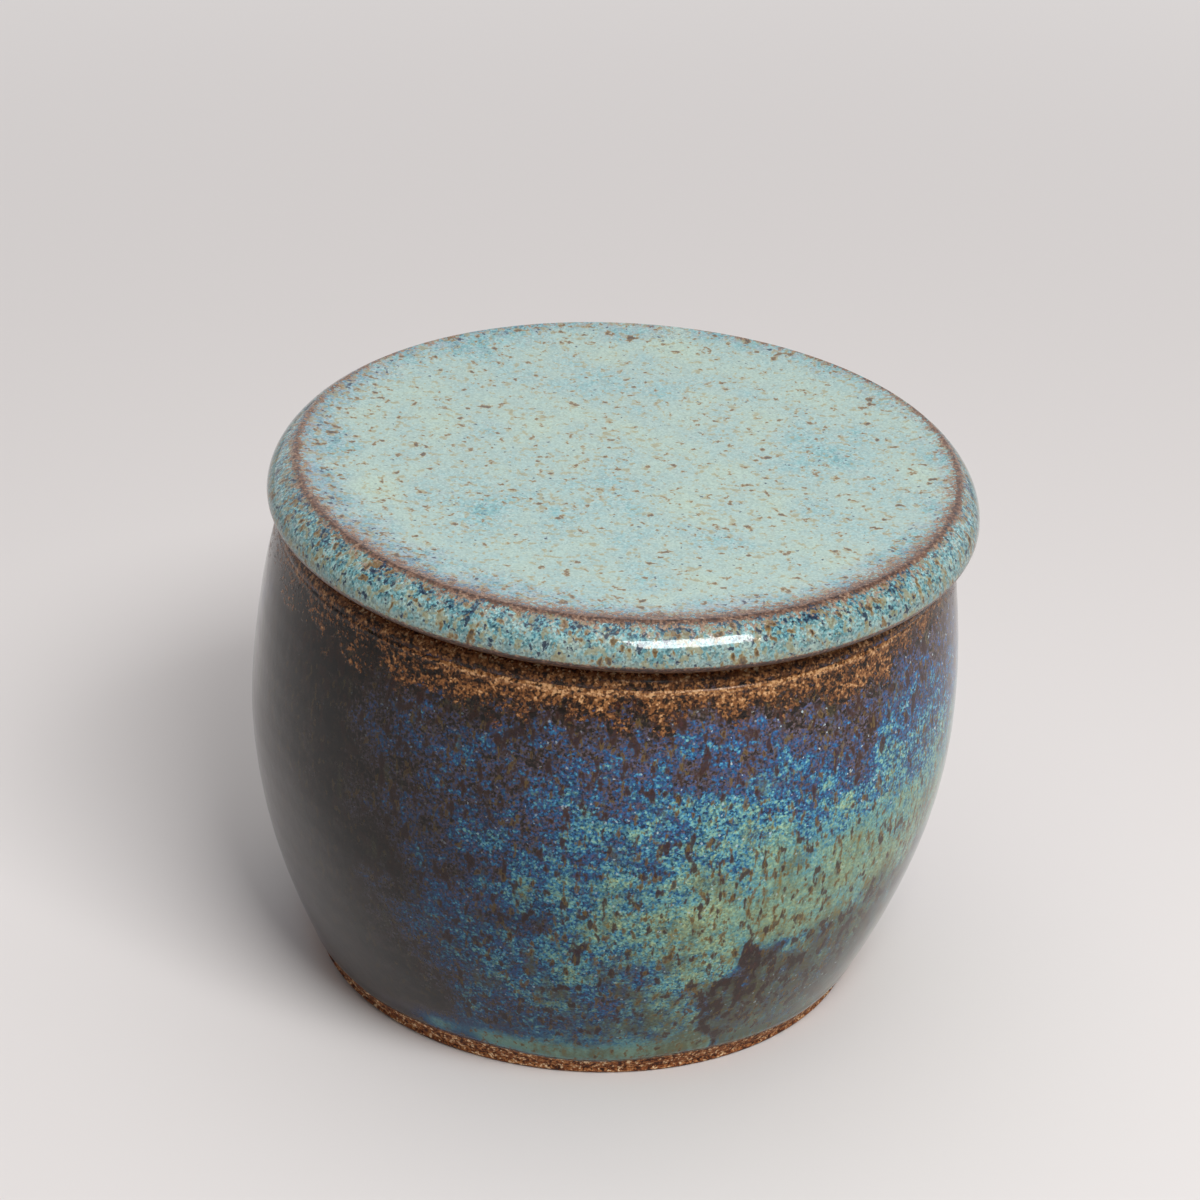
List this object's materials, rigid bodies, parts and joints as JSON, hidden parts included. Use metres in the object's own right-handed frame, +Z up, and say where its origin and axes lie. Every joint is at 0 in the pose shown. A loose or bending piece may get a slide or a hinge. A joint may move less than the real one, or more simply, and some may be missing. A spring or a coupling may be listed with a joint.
{
  "type": "lidded stoneware crock",
  "caption": "Wheel-thrown barrel-shaped stoneware crock with a knobless flat lid whose rolled edge overhangs the rim and whose underside carries an inverted cup.",
  "frame": {"origin": "centre of the foot ring's underside, on the surface that the crock stands on", "axes": "+Z up, along the axis about which both pieces were turned; the picture looks roughly along +Y, with +X to its right"},
  "size_m": [0.129, 0.129, 0.0967],
  "materials": {
    "crock_glaze": "glossy, mottled blue over brown, breaking to speckled clay at the rim and foot",
    "lid_glaze": "glossy, sea green with brown and blue specks, breaking brown along the edge"
  },
  "bodies": {
    "crock": {"crock": "crock_glaze"},
    "lid": {"lid": "lid_glaze"}
  },
  "joints": [
    {"name": "lid_lift", "type": "slide", "parent": "crock", "child": "lid", "axis": [0, 0, 1], "range_m": [0, 0.08]}
  ]
}
